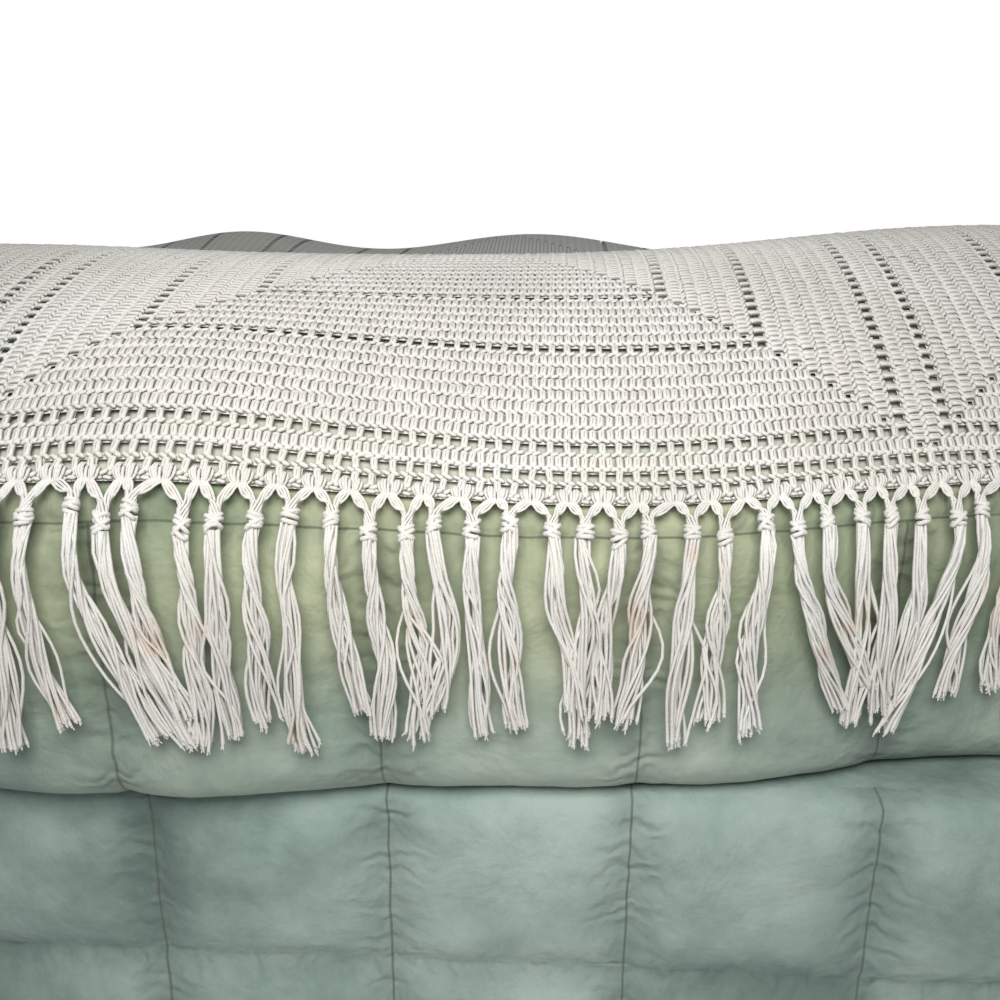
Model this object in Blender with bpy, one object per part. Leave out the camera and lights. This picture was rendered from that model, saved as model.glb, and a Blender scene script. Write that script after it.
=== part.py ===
"""A crochet blanket laid over a plain bed.

Six crocheted squares in two rows, an edging worked round them, a knotted fringe
along both long hems, and the mattress and base that carry them.
The part stands on the floor, with X along the bed and the front hem towards -Y.
All sizes are in metres.
"""
import math

import bmesh
import bpy
from mathutils import Matrix, Vector

# Gauge of the crochet
STITCH = 0.0052
ROUND = 2 * STITCH
ROUNDS = 29
FILET_ROUND = 28
SQUARE = 2 * ROUNDS * ROUND

# Blanket
SQUARES_LONG = 3
EDGING = 0.0248
CLOTH = 0.003
GAP = 0.0003
MESH_PITCH = 4 * STITCH
MESHES = 29
MESH_RIM = 0.0022
HALF_LENGTH = SQUARES_LONG * SQUARE / 2
END = HALF_LENGTH + EDGING
HEM = SQUARE + EDGING
COARSE_COLUMNS = (0, 4, 8, 12, 17, 21, 25, 29)
BEND_STEPS = 4
CELL_SLANT = 0.2

# Bed
BED_LENGTH = 1.90
BASE_LENGTH = 1.86
BASE_WIDTH = 1.20
BASE_HEIGHT = 0.185
CREST = 0.50
HOLLOW = 0.030
END_EDGE = 0.02
LOWER_EDGE = 0.03
BASE_CORNER = 0.03

# Drape across the bed: flat, then a bend, a straight slope, the mattress edge and its side
HEM_SLOPE = math.radians(42)
BEND = 0.283
STRAIGHT = 0.028
FLAT = HEM - BEND - STRAIGHT
BEND_RADIUS = BEND / HEM_SLOPE
EDGE_RADIUS = 0.05
EDGE_ARC = EDGE_RADIUS * (math.pi / 2 - HEM_SLOPE)
LEVEL = 0.04
LIFTED = 0.12
CLOTH_CLEARANCE = 0.003
FRINGE_CLEARANCE = 0.0075

# Unevenness of the bed's long sides: where, how wide, how far out
SWELLS = (
    # along, half_width, reach
    (-0.21, 0.16, 0.030),
    (0.16, 0.11, 0.010),
    (0.40, 0.20, -0.054),
)
# Unevenness of the bed's top: where, how wide, how high, with the back at negative places across
RISES = (
    # along, across, half_along, half_across, height
    (0.46, 0.30, 0.26, 0.15, 0.028),
    (-0.38, 0.31, 0.20, 0.14, 0.006),
    (-0.18, 0.57, 0.12, 0.10, 0.018),
    (0.08, 0.57, 0.11, 0.10, -0.006),
    (0.00, -0.32, 1.10, 0.15, -0.034),
    (-0.37, -0.32, 0.13, 0.13, 0.034),
    (0.04, -0.32, 0.18, 0.13, 0.036),
)

# Fringe: a lock hangs below each pair of meshes
STRIP = 0.004
LOCK_ROWS = (
    # below_hem, half_width, thickness
    (0.019, 0.0054, 0.0085),
    (0.075, 0.0050, 0.0060),
    (0.139, 0.0064, 0.0065),
)
LOCK_SWAY = 0.0030
LOCK_SWAY_TURN = 1.9
LOCK_ROW_TURN = 0.8
LOCK_UNEVEN = 0.010
LOCK_UNEVEN_TURN = 2.3

# Edges sharper than this stay sharp in the shading
SHARP = math.radians(35)


def ease(value, start, end):
    """Goes smoothly from 0 at start to 1 at end."""
    share = min(max((value - start) / (end - start), 0.0), 1.0)
    return share * share * (3 - 2 * share)


def section(across):
    """Outward reach, drop and slope of the bed at this cloth length from its middle line."""
    if across <= FLAT:
        return across, 0.0, 0.0
    if across <= FLAT + BEND:
        angle = (across - FLAT) / BEND_RADIUS
        return FLAT + BEND_RADIUS * math.sin(angle), BEND_RADIUS * (1 - math.cos(angle)), angle
    reach = FLAT + BEND_RADIUS * math.sin(HEM_SLOPE)
    drop = BEND_RADIUS * (1 - math.cos(HEM_SLOPE))
    slope = min(across - FLAT - BEND, STRAIGHT)
    reach += slope * math.cos(HEM_SLOPE)
    drop += slope * math.sin(HEM_SLOPE)
    if across <= HEM:
        return reach, drop, HEM_SLOPE
    angle = min(HEM_SLOPE + (across - HEM) / EDGE_RADIUS, math.pi / 2)
    reach += EDGE_RADIUS * (math.sin(angle) - math.sin(HEM_SLOPE))
    drop += EDGE_RADIUS * (math.cos(HEM_SLOPE) - math.cos(angle))
    drop += max(across - HEM - EDGE_ARC, 0.0)
    return reach, drop, angle


def swell(along):
    """How far the bed's side stands out here."""
    return sum(reach * math.exp(-(((along - at) / wide) ** 2)) for at, wide, reach in SWELLS)


def rise(u, v):
    """How far the bed's top stands above or below its crest's height here."""
    height = 0.0
    for at, over, half_along, half_across, high in RISES:
        height += high * math.exp(-(((u - at) / half_along) ** 2) - ((v - over) / half_across) ** 2)
    return height * ease(abs(v), LEVEL, LIFTED) - HOLLOW * (1 - ease(abs(v), LEVEL, FLAT))


def drape(u, v, lift):
    """The point at u along and v across the cloth, raised off the bed by lift.

    v grows towards the front. The back's side swells like the front's, turned half round.
    """
    front = 1 if v >= 0 else -1
    across = abs(v)
    reach, drop, angle = section(across)
    reach += swell(u * front) * ease(across, LEVEL, FLAT)
    reach += lift * math.sin(angle)
    height = CREST - drop + rise(u, v) + lift * math.cos(angle)
    return Vector((u, -front * reach, height))


def clearance(v):
    """Gap below the cloth: next to nothing where the bed is level, more over its bends."""
    return GAP + (CLOTH_CLEARANCE - GAP) * ease(abs(v), LEVEL, LIFTED)


def material(name, colour, roughness):
    """A plain surface with this colour."""
    mat = bpy.data.materials.new(name)
    mat.use_nodes = True
    shader = mat.node_tree.nodes["Principled BSDF"]
    shader.inputs["Base Color"].default_value = (*colour, 1)
    shader.inputs["Roughness"].default_value = roughness
    shader.inputs["Metallic"].default_value = 0.0
    return mat


def add_object(name, bm, mat):
    """Puts the finished mesh into the scene under this name, with its faces pointing out."""
    bmesh.ops.recalc_face_normals(bm, faces=bm.faces[:])
    if bm.calc_volume(signed=True) < 0:
        bmesh.ops.reverse_faces(bm, faces=bm.faces[:])
    mesh = bpy.data.meshes.new(name)
    bm.to_mesh(mesh)
    bm.free()
    mesh.materials.append(mat)
    mesh.shade_smooth()
    mesh.set_sharp_from_angle(angle=SHARP)
    obj = bpy.data.objects.new(name, mesh)
    bpy.context.scene.collection.objects.link(obj)
    return obj


def flat_grid(us, vs):
    """A flat sheet of cells whose lines lie at these places."""
    bm = bmesh.new()
    columns = len(us) - 1
    rows = len(vs) - 1
    bmesh.ops.create_grid(bm, x_segments=columns, y_segments=rows, size=0.5)
    for vert in bm.verts:
        u = us[round((vert.co.x + 0.5) * columns)]
        v = vs[round((vert.co.y + 0.5) * rows)]
        vert.co = Vector((u, v, 0))
    return bm


def merge_cells(bm, columns, fine_rows):
    """Drops the cell lines between the given columns outside the fine rows."""
    spare = []
    for edge in bm.edges:
        a, b = (vert.co for vert in edge.verts)
        if abs(a.x - b.x) > GAP or edge.is_boundary:
            continue
        middle = (a.y + b.y) / 2
        in_fine_row = any(low < middle < high for low, high in fine_rows)
        on_column = any(abs(a.x - column) < GAP for column in columns)
        if not in_fine_row and not on_column:
            spare.append(edge)
    bmesh.ops.dissolve_edges(bm, edges=spare, use_verts=True)
    straight = [vert for vert in bm.verts if len(vert.link_edges) == 2 and vert.calc_edge_angle(1) < SHARP]
    bmesh.ops.dissolve_verts(bm, verts=straight)


def open_meshes(bm, is_open):
    """Cuts a hole with a rim in each cell that is_open picks by its middle."""
    cells = [face for face in bm.faces if is_open(face.calc_center_median())]
    bmesh.ops.inset_individual(bm, faces=cells, thickness=MESH_RIM, use_even_offset=True)
    bmesh.ops.delete(bm, geom=cells, context="FACES")


def thicken(bm, thickness):
    """Gives the flat sheet its thickness, upwards."""
    added = bmesh.ops.extrude_face_region(bm, geom=bm.faces[:])["geom"]
    for item in added:
        if isinstance(item, bmesh.types.BMVert):
            item.co.z = thickness
    bmesh.ops.recalc_face_normals(bm, faces=bm.faces[:])


def split_cells(bm):
    """Splits all cells of a flat piece along the same diagonal, so that cloth and bed match."""
    slant = Matrix.Identity(3)
    slant[0][1] = CELL_SLANT
    bmesh.ops.transform(bm, matrix=slant.to_4x4(), verts=bm.verts[:])
    bmesh.ops.triangulate(bm, faces=bm.faces[:], quad_method="SHORT_EDGE")
    slant.invert()
    bmesh.ops.transform(bm, matrix=slant.to_4x4(), verts=bm.verts[:])


def lay(bm):
    """Triangulates the flat cloth and lays it over the bed."""
    split_cells(bm)
    for vert in bm.verts:
        u, v, up = vert.co
        vert.co = drape(u, v, clearance(v) + up)


def turn_to_back(bm):
    """Turns a flat piece half round, from the front of the bed to its back."""
    bmesh.ops.rotate(bm, cent=(0, 0, 0), matrix=Matrix.Rotation(math.pi, 3, "Z"), verts=bm.verts[:])


def across_lines():
    """Cell lines across one square, from the bed's middle line to the square's outer edge."""
    filet_in = SQUARE / 2 + (FILET_ROUND - 1) * ROUND
    bend = [FLAT + (filet_in - FLAT) * step / BEND_STEPS for step in range(BEND_STEPS)]
    return [GAP / 2, LEVEL, LIFTED, (LIFTED + FLAT) / 2, *bend, filet_in, filet_in + ROUND, SQUARE]


def mesh_lines():
    """Cell lines along one square, one for each pair of meshes in its filet rounds."""
    return [step * MESH_PITCH for step in range(MESHES + 1)]


def square(name, column, front, mat):
    """One crocheted square, with its outer filet row cut through on the front."""
    start = -HALF_LENGTH + column * SQUARE
    us = [start + line for line in mesh_lines()]
    us[0] += GAP / 2
    us[-1] -= GAP / 2
    vs = across_lines()
    filet = (vs[-3], vs[-2])
    outer = (vs[-2], vs[-1])
    bm = flat_grid(us, vs)
    merge_cells(bm, [us[step] for step in COARSE_COLUMNS], [filet, outer] if front else [])
    if front:
        first, last = us[1], us[-2]
        open_meshes(bm, lambda mid: filet[0] < mid.y < filet[1] and first < mid.x < last)
    thicken(bm, CLOTH)
    if not front:
        turn_to_back(bm)
    lay(bm)
    return add_object(name, bm, mat)


def long_edging(name, front, mat):
    """The edging of a long hem, two filet rows and a plain edge, open on the front."""
    lines = [-HALF_LENGTH + step * MESH_PITCH for step in range(SQUARES_LONG * MESHES + 1)]
    us = [-END, *lines, END]
    vs = [SQUARE + GAP, SQUARE + ROUND, SQUARE + 2 * ROUND, HEM]
    bm = flat_grid(us, vs)
    if front:
        open_meshes(bm, lambda mid: mid.y < vs[2] and abs(mid.x) < HALF_LENGTH)
    else:
        starts = range(0, SQUARES_LONG * MESHES + 1, MESHES)
        columns = [lines[start + step] for start in starts[:-1] for step in COARSE_COLUMNS]
        merge_cells(bm, [*columns, HALF_LENGTH], [(vs[2], vs[3])])
    thicken(bm, CLOTH)
    if not front:
        turn_to_back(bm)
    lay(bm)
    return add_object(name, bm, mat)


def end_edging(name, side, mat):
    """The edging of a short end, between the two long ones."""
    us = sorted((side * (HALF_LENGTH + GAP), side * END))
    half = across_lines()[1:]
    vs = [-line for line in reversed(half)] + half
    bm = flat_grid(us, vs)
    thicken(bm, CLOTH)
    lay(bm)
    return add_object(name, bm, mat)


def lock_offset(number, row):
    """Sideways sway of a lock, more at its end."""
    share = (row + 1) / len(LOCK_ROWS)
    return LOCK_SWAY * share * math.sin(LOCK_SWAY_TURN * number + LOCK_ROW_TURN * row)


def fringe(name, front, mat):
    """A narrow strip along a hem with one knotted lock below each pair of meshes."""
    locks = SQUARES_LONG * MESHES
    us = [-HALF_LENGTH + step * MESH_PITCH for step in range(locks + 1)]
    vs = [HEM + GAP, HEM + GAP + STRIP]
    bm = flat_grid(us, vs)
    thicken(bm, CLOTH)
    faces = [face for face in bm.faces if face.calc_center_median().y > vs[1] - GAP]
    faces.sort(key=lambda face: face.calc_center_median().x)
    for row, (below, half_width, thickness) in enumerate(LOCK_ROWS):
        faces = bmesh.ops.extrude_discrete_faces(bm, faces=faces)["faces"]
        faces.sort(key=lambda face: face.calc_center_median().x)
        for number, face in enumerate(faces):
            middle = -HALF_LENGTH + (number + 0.5) * MESH_PITCH
            drawn = face.calc_center_median()
            at_end = row == len(LOCK_ROWS) - 1
            longer = LOCK_UNEVEN * math.sin(LOCK_UNEVEN_TURN * number) if at_end else 0.0
            for vert in face.verts:
                side = 1 if vert.co.x > drawn.x else -1
                vert.co.x = middle + side * half_width + lock_offset(number, row)
                vert.co.y = HEM + below + longer
                vert.co.z = thickness if vert.co.z > drawn.z else 0.0
    if not front:
        turn_to_back(bm)
    for vert in bm.verts:
        u, v, up = vert.co
        hung = ease(abs(v), HEM, HEM + EDGE_ARC)
        vert.co = drape(u, v, CLOTH_CLEARANCE + (FRINGE_CLEARANCE - CLOTH_CLEARANCE) * hung + up)
    return add_object(name, bm, mat)


def mattress(name, mat):
    """The mattress, whose top and long sides carry the cloth's bends."""
    corner = END + GAP
    step_in = END_EDGE * (1 - math.cos(math.pi / 4))
    columns = [(-BED_LENGTH / 2, END_EDGE), (-corner - END_EDGE * math.sin(math.pi / 4), step_in), (-corner, 0.0)]
    for number in range(SQUARES_LONG):
        start = -HALF_LENGTH + number * SQUARE
        columns += [(start + step * MESH_PITCH, 0.0) for step in COARSE_COLUMNS[:-1]]
    columns += [(HALF_LENGTH, 0.0)]
    columns += [(-u, inset) for u, inset in reversed(columns[:3])]
    side_drop = section(HEM + EDGE_ARC)[1]
    side = CREST - side_drop - BASE_HEIGHT - GAP - LOWER_EDGE
    half = [0.0, *across_lines()[1:], HEM, HEM + EDGE_ARC / 3, HEM + 2 * EDGE_ARC / 3, HEM + EDGE_ARC]
    half += [HEM + EDGE_ARC + side / 2, HEM + EDGE_ARC + side]
    loop = [(-line, 0) for line in reversed(half)] + [(line, 0) for line in half[1:]]
    turn = LOWER_EDGE * (1 - math.sin(math.pi / 4))
    lower = HEM + EDGE_ARC + side + LOWER_EDGE * math.sin(math.pi / 4)
    bottom = HEM + EDGE_ARC + side + LOWER_EDGE
    loop = [(-bottom, LOWER_EDGE), (-lower, turn), *loop, (lower, turn), (bottom, LOWER_EDGE)]
    loop.append(loop[0])
    us = range(len(columns))
    vs = range(len(loop))
    bm = flat_grid(us, vs)
    split_cells(bm)
    for vert in bm.verts:
        u, inset = columns[round(vert.co.x)]
        v, tuck = loop[round(vert.co.y)]
        point = drape(u, v, -inset)
        reach = math.copysign(abs(point.y) - tuck, point.y)
        vert.co = Vector((u, reach, point.z))
    bmesh.ops.remove_doubles(bm, verts=bm.verts[:], dist=GAP / 10)
    bmesh.ops.holes_fill(bm, edges=[edge for edge in bm.edges if edge.is_boundary])
    return add_object(name, bm, mat)


def bed_base(name, mat):
    """The low upholstered base under the mattress."""
    bm = bmesh.new()
    bmesh.ops.create_cube(bm, size=1)
    bmesh.ops.scale(bm, vec=(BASE_LENGTH, BASE_WIDTH, BASE_HEIGHT), verts=bm.verts[:])
    bmesh.ops.translate(bm, vec=(0, 0, BASE_HEIGHT / 2), verts=bm.verts[:])
    corners = [edge for edge in bm.edges if abs(edge.verts[0].co.z - edge.verts[1].co.z) > GAP]
    bmesh.ops.bevel(bm, geom=corners, offset=BASE_CORNER, offset_type="OFFSET", segments=3, profile=0.5,
                    affect="EDGES", clamp_overlap=True, material=-1)
    return add_object(name, bm, mat)


def main():
    """Builds the blanket and its bed."""
    for old in list(bpy.data.objects):
        bpy.data.objects.remove(old)
    cotton = material("cream_cotton", (0.80, 0.76, 0.68), 0.9)
    sage = material("sage_cover", (0.32, 0.38, 0.29), 0.85)
    base_cloth = material("sage_base_cloth", (0.26, 0.31, 0.24), 0.9)
    places = ("left", "middle", "right")
    for column, place in enumerate(places[:SQUARES_LONG]):
        square(f"square_front_{place}", column, True, cotton)
    for column, place in enumerate(places[:SQUARES_LONG]):
        square(f"square_back_{place}", SQUARES_LONG - 1 - column, False, cotton)
    long_edging("edging_front", True, cotton)
    long_edging("edging_back", False, cotton)
    end_edging("edging_left", -1, cotton)
    end_edging("edging_right", 1, cotton)
    fringe("fringe_front", True, cotton)
    fringe("fringe_back", False, cotton)
    mattress("mattress", sage)
    bed_base("bed_base", base_cloth)


main()
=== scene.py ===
"""The crochet blanket on its bed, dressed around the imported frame.

Cloth places are (u, v, lift): u along the bed, v across it from its middle line
towards the front hem, and lift off the mattress. All sizes are in metres.
"""
import math

import bmesh
import bpy
import numpy as np
from mathutils import Euler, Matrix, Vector, noise


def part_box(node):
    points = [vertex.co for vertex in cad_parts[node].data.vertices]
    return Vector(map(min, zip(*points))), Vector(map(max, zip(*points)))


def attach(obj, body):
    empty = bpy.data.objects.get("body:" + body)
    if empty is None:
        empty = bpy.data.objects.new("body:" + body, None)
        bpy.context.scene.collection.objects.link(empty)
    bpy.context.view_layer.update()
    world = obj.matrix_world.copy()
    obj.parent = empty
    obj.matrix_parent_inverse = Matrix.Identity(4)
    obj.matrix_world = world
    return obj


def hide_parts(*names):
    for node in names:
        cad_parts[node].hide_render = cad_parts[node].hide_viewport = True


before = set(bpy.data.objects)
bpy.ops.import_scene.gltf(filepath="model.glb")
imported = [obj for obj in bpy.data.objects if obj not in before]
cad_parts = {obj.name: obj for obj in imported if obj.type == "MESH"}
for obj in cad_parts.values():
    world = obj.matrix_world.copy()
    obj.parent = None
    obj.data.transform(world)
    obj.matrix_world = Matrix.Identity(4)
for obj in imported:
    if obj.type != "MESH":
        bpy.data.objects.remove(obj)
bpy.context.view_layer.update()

# Gauge of the crochet
STITCH = 0.0052
ROUND = 2 * STITCH
ROUNDS = 29
FILET_ROUNDS = (14, 20, 28)
SQUARE = 2 * ROUNDS * ROUND
HALF_LENGTH = 1.5 * SQUARE
EDGING = 0.0248
END = HALF_LENGTH + EDGING
HEM = SQUARE + EDGING
PAIR = 4 * STITCH
LOCKS = 87
SEAM = 0.0003

# Drape, as in the frame
HEM_SLOPE = math.radians(42)
BEND = 0.283
STRAIGHT = 0.028
FLAT = HEM - BEND - STRAIGHT
BEND_RADIUS = BEND / HEM_SLOPE
EDGE_RADIUS = 0.05
EDGE_ARC = EDGE_RADIUS * (math.pi / 2 - HEM_SLOPE)
CREST = 0.50
LEVEL = 0.04
LIFTED = 0.12
CLOTH_CLEARANCE = 0.003
FRINGE_CLEARANCE = 0.0075
BED_LENGTH = 1.90
END_EDGE = 0.02
BASE_HEIGHT = 0.185
SWELLS = (
    # along, half_width, reach
    (-0.21, 0.16, 0.030),
    (0.16, 0.11, 0.010),
    (0.40, 0.20, -0.054),
)
HOLLOW = 0.030
RISES = (
    # along, across, half_along, half_across, height, with the back at negative places across
    (0.46, 0.30, 0.26, 0.15, 0.028),
    (-0.38, 0.31, 0.20, 0.14, 0.006),
    (-0.18, 0.57, 0.12, 0.10, 0.018),
    (0.08, 0.57, 0.11, 0.10, -0.006),
    (0.00, -0.32, 1.10, 0.15, -0.034),
    (-0.37, -0.32, 0.13, 0.13, 0.034),
    (0.04, -0.32, 0.18, 0.13, 0.036),
)

# Quilting of the bed's cover
SEAM_BELOW = 0.0185
UNDER_CLOTH = -SEAM_BELOW - 0.004
SEAM_PITCH = 0.161
SEAM_SHIFT = 0.039
LOWER_SEAM = 0.045
PUFF = 0.006
BASE_PUFF = 0.014
LOWER_EDGE = 0.03
PUCKER_WAVES = 380.0
PUCKER_HEIGHT = 0.058

# Yarn
POST_WIDTH = 0.0054
POST_HEIGHT = 0.0104
POST_DEPTH = 0.0036
POST_WAIST = 0.90
LOOP_LENGTH = 0.0066
LOOP_WIDTH = 0.0035
LOOP_DEPTH = 0.0030
LOOP_SLANT = 0.50
LOOP_LIFT = 0.0007
STRAND = 0.00105
TIGHT_STRAND = 0.00092
CLOTH_LIFT = 0.0010
MESH_RIM = 0.0019
SLIT_RIM = 0.0036
YARN_LIFT = 0.0022


def ease(value, start, end):
    share = np.clip((value - start) / (end - start), 0.0, 1.0)
    return share * share * (3 - 2 * share)


def section(across):
    """Outward reach, drop and slope of the bed for cloth lengths from its middle line."""
    angle = np.clip((across - FLAT) / BEND_RADIUS, 0.0, HEM_SLOPE)
    reach = np.minimum(across, FLAT) + BEND_RADIUS * np.sin(angle)
    drop = BEND_RADIUS * (1 - np.cos(angle))
    slope = np.clip(across - FLAT - BEND, 0.0, STRAIGHT)
    reach = reach + slope * math.cos(HEM_SLOPE)
    drop = drop + slope * math.sin(HEM_SLOPE)
    turned = np.clip(HEM_SLOPE + (across - HEM) / EDGE_RADIUS, HEM_SLOPE, math.pi / 2)
    reach = reach + EDGE_RADIUS * (np.sin(turned) - math.sin(HEM_SLOPE))
    drop = drop + EDGE_RADIUS * (math.cos(HEM_SLOPE) - np.cos(turned))
    drop = drop + np.maximum(across - HEM - EDGE_ARC, 0.0)
    return reach, drop, np.where(across > HEM, turned, angle)


def drape(u, v, lift):
    """World points at u, v on the bed, raised off it by lift along its slope's normal."""
    u, v, lift = (np.asarray(value, float) for value in (u, v, lift))
    front = np.where(v >= 0, 1.0, -1.0)
    across = np.abs(v)
    along = u * front
    reach, drop, angle = section(across)
    out = sum(far * np.exp(-(((along - at) / wide) ** 2)) for at, wide, far in SWELLS)
    up = sum(high * np.exp(-(((u - at) / half_along) ** 2) - ((v - over) / half_across) ** 2)
             for at, over, half_along, half_across, high in RISES)
    up = up * ease(across, LEVEL, LIFTED) - HOLLOW * (1 - ease(across, LEVEL, FLAT))
    reach = reach + out * ease(across, LEVEL, FLAT) + lift * np.sin(angle)
    height = CREST - drop + up + lift * np.cos(angle)
    return np.stack(np.broadcast_arrays(u, -front * reach, height), -1)


def clearance(v):
    """Gap below the cloth, and on past the hem below the fringe."""
    across = np.abs(v)
    below_cloth = SEAM + (CLOTH_CLEARANCE - SEAM) * ease(across, LEVEL, LIFTED)
    return below_cloth + (FRINGE_CLEARANCE - CLOTH_CLEARANCE) * ease(across, HEM, HEM + EDGE_ARC)


# Materials

def new_material(name):
    mat = bpy.data.materials.new(name)
    mat.use_nodes = True
    return mat, mat.node_tree.nodes, mat.node_tree.links, mat.node_tree.nodes["Principled BSDF"]


def add(nodes, kind, **values):
    node = nodes.new(kind)
    for key, value in values.items():
        if key in node.inputs.keys():
            node.inputs[key].default_value = value
        else:
            setattr(node, key, value)
    return node


def ramp(nodes, stops):
    node = nodes.new("ShaderNodeValToRGB")
    elements = node.color_ramp.elements
    while len(elements) > len(stops):
        elements.remove(elements[-1])
    while len(elements) < len(stops):
        elements.new(1.0)
    for element, (place, colour) in zip(elements, stops):
        element.position = place
        element.color = (*colour, 1)
    return node


def mix(nodes, links, factor, first, second, blend="MIX"):
    node = nodes.new("ShaderNodeMix")
    node.data_type = "RGBA"
    node.blend_type = blend
    for socket, value in ((node.inputs[0], factor), (node.inputs[6], first), (node.inputs[7], second)):
        if isinstance(value, bpy.types.NodeSocket):
            links.new(value, socket)
        elif isinstance(value, (int, float)):
            socket.default_value = value
        else:
            socket.default_value = (*value, 1)
    return node.outputs[2]


def math_node(nodes, links, operation, first, second=None):
    node = nodes.new("ShaderNodeMath")
    node.operation = operation
    for socket, value in zip(node.inputs, (first, second)):
        if value is None:
            continue
        if isinstance(value, bpy.types.NodeSocket):
            links.new(value, socket)
        else:
            socket.default_value = value
    return node.outputs[0]


def math_maker(nodes, links):
    """A short name for math_node in one material."""
    return lambda operation, first, second=None: math_node(nodes, links, operation, first, second)


def between(nodes, links, value, low, high, start=0.0, end=1.0):
    """Goes smoothly from the start value at low to the end value at high."""
    node = nodes.new("ShaderNodeMapRange")
    node.interpolation_type = "SMOOTHSTEP"
    links.new(value, node.inputs["Value"])
    for name, number in (("From Min", low), ("From Max", high), ("To Min", start), ("To Max", end)):
        node.inputs[name].default_value = number
    return node.outputs["Result"]


def uv_parts(nodes, links):
    """The two parts of a piece's own UV."""
    split = nodes.new("ShaderNodeSeparateXYZ")
    links.new(add(nodes, "ShaderNodeUVMap").outputs["UV"], split.inputs[0])
    return split.outputs["X"], split.outputs["Y"]


CREAM = (0.79, 0.765, 0.715)
# Painted shade for the crochet: in the slits of the posts and in the gaps between stitches
CREAM_SHADE = (0.62, 0.58, 0.50)
CREAM_GAP_SHADE = (0.38, 0.36, 0.30)
CREAM_SLIT_SHADE = (0.33, 0.31, 0.26)
RUST = (0.66, 0.47, 0.35)
SAGE = (0.33, 0.40, 0.335)
SAGE_LIGHT = (0.43, 0.49, 0.41)
SAGE_DARK = (0.22, 0.29, 0.245)
SAGE_WARM = (1.08, 1.0, 0.80)
SAGE_SEAM = (0.10, 0.12, 0.085)
SAGE_BASE = (0.285, 0.375, 0.335)
SAGE_BASE_LIGHT = (0.40, 0.49, 0.44)
SAGE_BASE_DARK = (0.175, 0.245, 0.215)
# Painted light: the cover under the crochet, lighter as if lit through the filet holes
PAINTED_LIGHT_UNDER_CROCHET = (0.50, 0.53, 0.43)


def yarn_material(name, stain):
    """Matt cotton yarn with fine fibre bump, soft patches of tone and some rust staining."""
    mat, nodes, links, shader = new_material(name)
    where = add(nodes, "ShaderNodeTexCoord").outputs["Object"]
    patches = add(nodes, "ShaderNodeTexNoise", Scale=9.0, Detail=3.0)
    links.new(where, patches.inputs["Vector"])
    tone = ramp(nodes, ((0.30, (0.73, 0.71, 0.67)), (0.52, CREAM), (0.75, (0.82, 0.815, 0.79))))
    links.new(patches.outputs["Fac"], tone.inputs["Fac"])
    fibre = add(nodes, "ShaderNodeTexNoise", Scale=900.0, Detail=2.0)
    links.new(where, fibre.inputs["Vector"])
    fleck = ramp(nodes, ((0.35, (0.80, 0.79, 0.77)), (0.6, (1.0, 1.0, 1.0))))
    links.new(fibre.outputs["Fac"], fleck.inputs["Fac"])
    colour = mix(nodes, links, 0.6, tone.outputs["Color"], fleck.outputs["Color"], "MULTIPLY")
    if stain:
        spots = add(nodes, "ShaderNodeTexNoise", Scale=22.0, Detail=2.0)
        links.new(where, spots.inputs["Vector"])
        amount = ramp(nodes, ((0.58, (0, 0, 0)), (0.76, (stain, stain, stain))))
        links.new(spots.outputs["Fac"], amount.inputs["Fac"])
        colour = mix(nodes, links, amount.outputs["Color"], colour, RUST)
    links.new(colour, shader.inputs["Base Color"])
    bump = add(nodes, "ShaderNodeBump", Strength=0.35, Distance=0.0004)
    links.new(fibre.outputs["Fac"], bump.inputs["Height"])
    links.new(bump.outputs["Normal"], shader.inputs["Normal"])
    shader.inputs["Roughness"].default_value = 0.85
    shader.inputs["Sheen Weight"].default_value = 0.25
    shader.inputs["Sheen Roughness"].default_value = 0.5
    shader.inputs["Specular IOR Level"].default_value = 0.25
    return mat


def stitch_pattern(nodes, links):
    """Heights of double crochet worked in rounds, from the sheet's UV in metres.

    Gives the stitch height, how deep a spot lies in a gap (also the mask of the painted shade there), and
    the slit in each post (painted as shade too).
    """
    op = math_maker(nodes, links)
    x, y = uv_parts(nodes, links)

    def band(value, low, high):
        return between(nodes, links, value, low, high)

    wide, tall = op("ABSOLUTE", x), op("ABSOLUTE", y)
    sideways = op("GREATER_THAN", wide, tall)
    along = op("ADD", op("MULTIPLY", sideways, y), op("MULTIPLY", op("SUBTRACT", 1.0, sideways), x))
    round_share = op("FRACT", op("DIVIDE", op("MAXIMUM", wide, tall), ROUND))
    post = op("ABSOLUTE", op("SUBTRACT", op("FRACT", op("ADD", op("DIVIDE", along, STITCH), 0.5)), 0.5))
    from_middle = op("ABSOLUTE", op("SUBTRACT", round_share, 0.52))
    in_post = op("SUBTRACT", 1.0, band(from_middle, 0.26, 0.40))
    gap = op("MULTIPLY", band(post, 0.36, 0.47), in_post)
    slit = op("MULTIPLY", op("SUBTRACT", 1.0, band(post, 0.03, 0.09)),
              op("SUBTRACT", 1.0, band(from_middle, 0.14, 0.24)))
    dots = op("MULTIPLY", band(post, 0.30, 0.42), band(from_middle, 0.40, 0.47))
    dots = op("MULTIPLY", dots, op("SUBTRACT", 1.0, band(round_share, 0.08, 0.16)))
    deep = op("MAXIMUM", gap, op("MULTIPLY", dots, 0.9))
    rounded = op("SUBTRACT", 1.0, op("POWER", op("MULTIPLY", post, 2.0), 2.5))
    height = op("MULTIPLY", rounded, op("SUBTRACT", 1.0, op("MULTIPLY", deep, 0.8)))
    height = op("SUBTRACT", height, op("MULTIPLY", slit, 0.5))
    return height, deep, slit


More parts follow.
